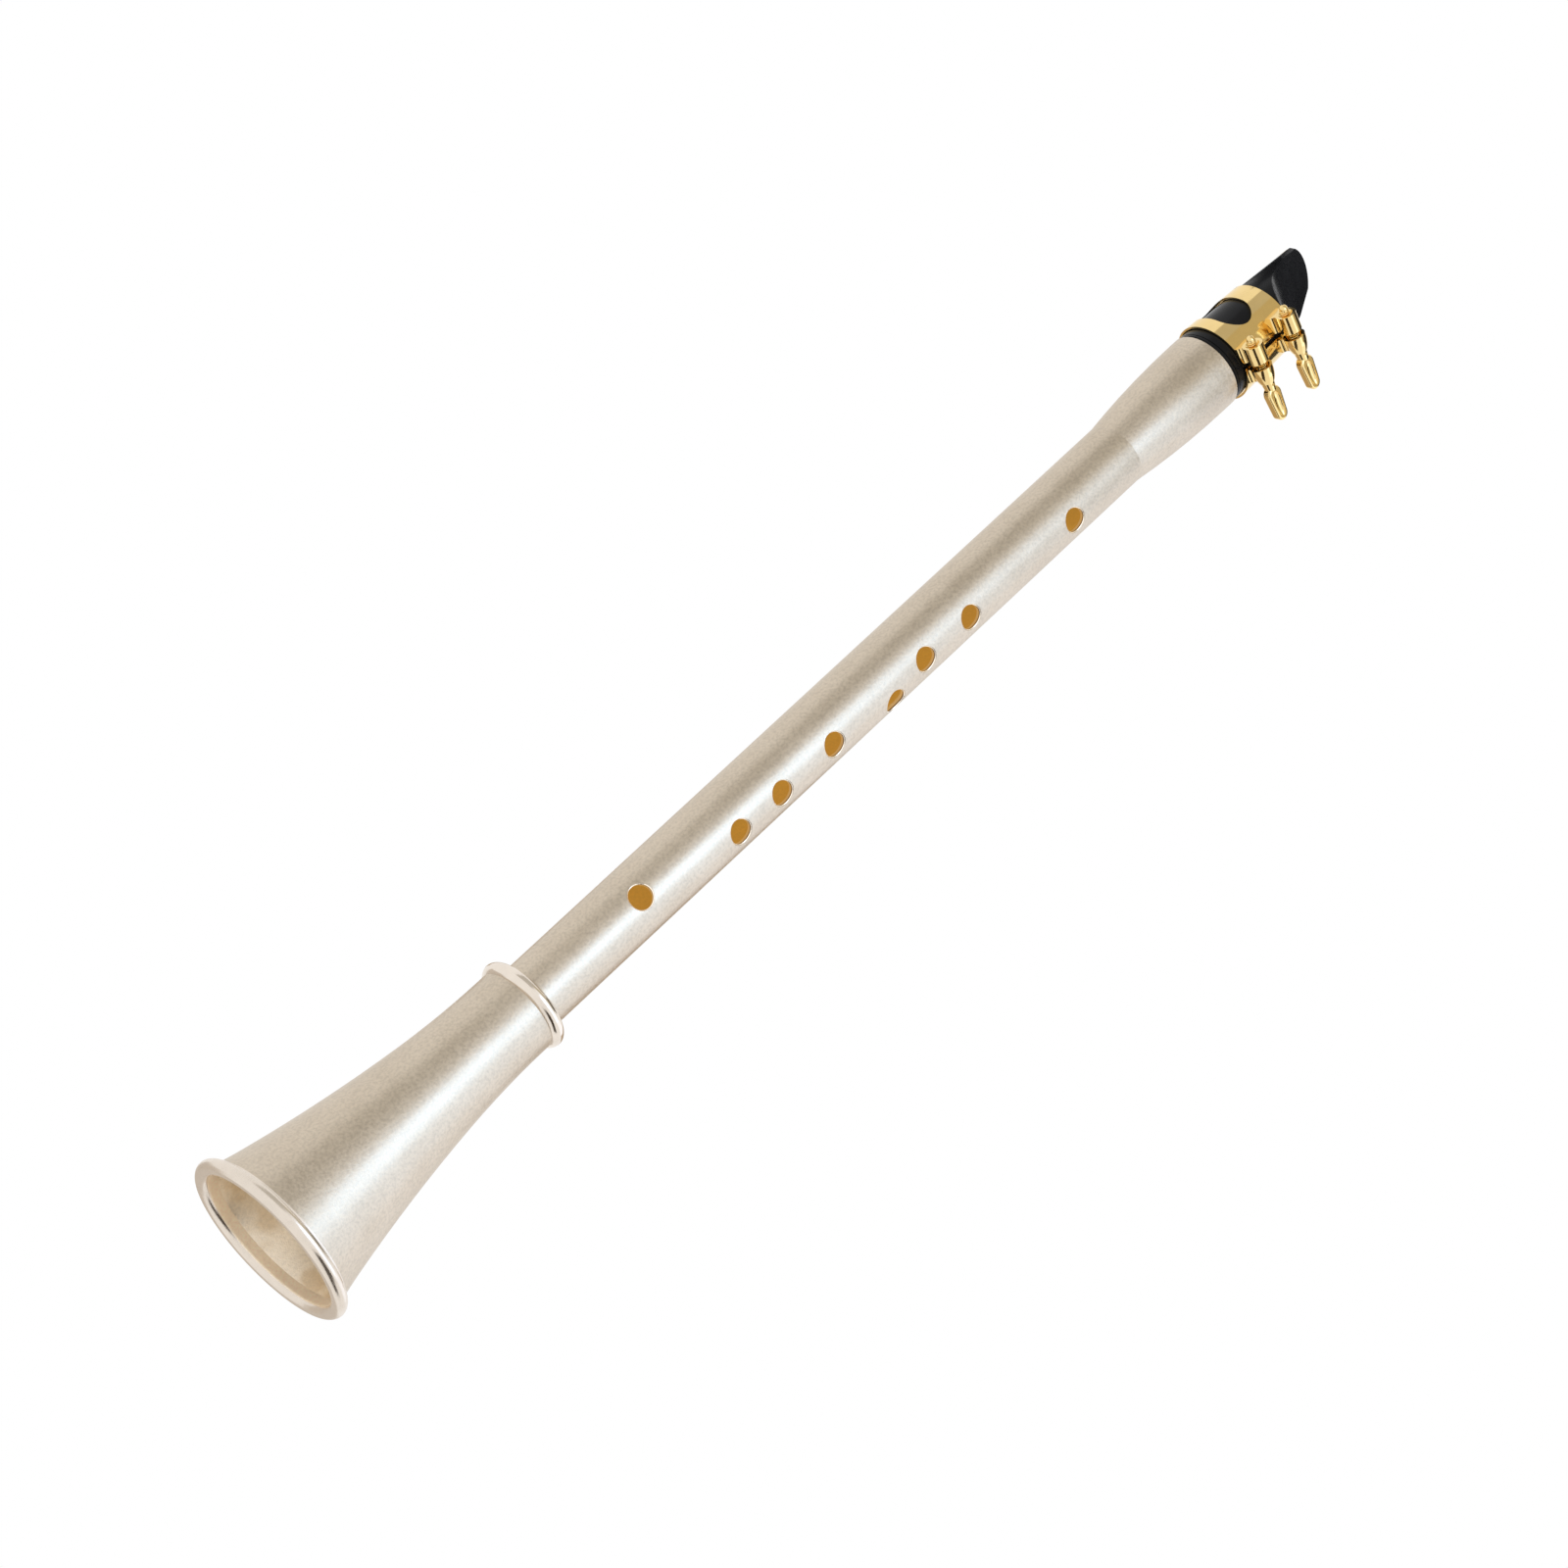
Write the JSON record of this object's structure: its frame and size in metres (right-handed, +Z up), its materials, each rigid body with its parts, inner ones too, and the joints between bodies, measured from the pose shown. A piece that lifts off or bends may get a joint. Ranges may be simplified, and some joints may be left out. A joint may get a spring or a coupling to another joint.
{
  "type": "pocket saxophone",
  "caption": "Straight keyless reed pipe with a flared bell, finger holes, and a black mouthpiece with a gold ligature and thumb screws, standing on its bell.",
  "frame": {"origin": "centre of the bell's mouth, on the plane that the instrument stands on", "axes": "+Z up the bore to the tip of the mouthpiece, -Y out of the finger holes, +X to the player's left"},
  "size_m": [0.0536, 0.0536, 0.4449],
  "materials": {
    "satin_champagne": "sand-blasted champagne anodised, satin with a fine sparkle",
    "polished_champagne": "polished champagne",
    "turned_aluminium": "turned, plain",
    "seal_rubber": "matte",
    "mouthpiece_black": "gloss black",
    "cork": "natural cork sleeve",
    "cane": "natural cane",
    "gold": "polished, gold lacquer"
  },
  "bodies": {
    "bell_end": {"bell": "satin_champagne", "bell_mouth_ring": "polished_champagne", "bell_collar_ring": "polished_champagne", "bell_bush": "turned_aluminium", "seal_ring_lower": "seal_rubber", "seal_ring_upper": "seal_rubber"},
    "main_tube": {"body_tube": "satin_champagne"},
    "mouthpiece": {"mouthpiece_body": "mouthpiece_black", "mouthpiece_base_ring": "mouthpiece_black", "tenon_cork": "cork"},
    "reed_blade": {"reed": "cane"},
    "ligature": {"ligature_band": "gold", "threaded_post_lower": "gold", "cup_post_lower": "gold", "threaded_post_upper": "gold", "cup_post_upper": "gold"},
    "thumb_screw_lower": {"screw_shaft_lower": "gold", "screw_wing_lower": "gold", "wing_pin_lower": "gold"},
    "thumb_screw_upper": {"screw_shaft_upper": "gold", "screw_wing_upper": "gold", "wing_pin_upper": "gold"}
  },
  "joints": [
    {"name": "tube_pull", "type": "slide", "parent": "bell_end", "child": "main_tube", "axis": [0, 0, 1], "range_m": [0, 0.03]},
    {"name": "mouthpiece_pull", "type": "slide", "parent": "main_tube", "child": "mouthpiece", "axis": [0, 0, 1], "range_m": [0, 0.022]},
    {"name": "reed_slide", "type": "slide", "parent": "mouthpiece", "child": "reed_blade", "axis": [0, -0.045, 0.999], "range_m": [0, 0.048]},
    {"name": "ligature_slide", "type": "slide", "parent": "mouthpiece", "child": "ligature", "axis": [0, 0, 1], "range_m": [0, 0.052]},
    {"name": "screw_lower_turn", "type": "hinge", "parent": "ligature", "child": "thumb_screw_lower", "pos_m": [-0.00117, -0.01676, 0.3961], "axis": [0.9976, -0.0698, 0], "continuous": true},
    {"name": "screw_upper_turn", "type": "hinge", "parent": "ligature", "child": "thumb_screw_upper", "pos_m": [-0.00117, -0.01676, 0.4119], "axis": [0.9976, -0.0698, 0], "continuous": true}
  ]
}
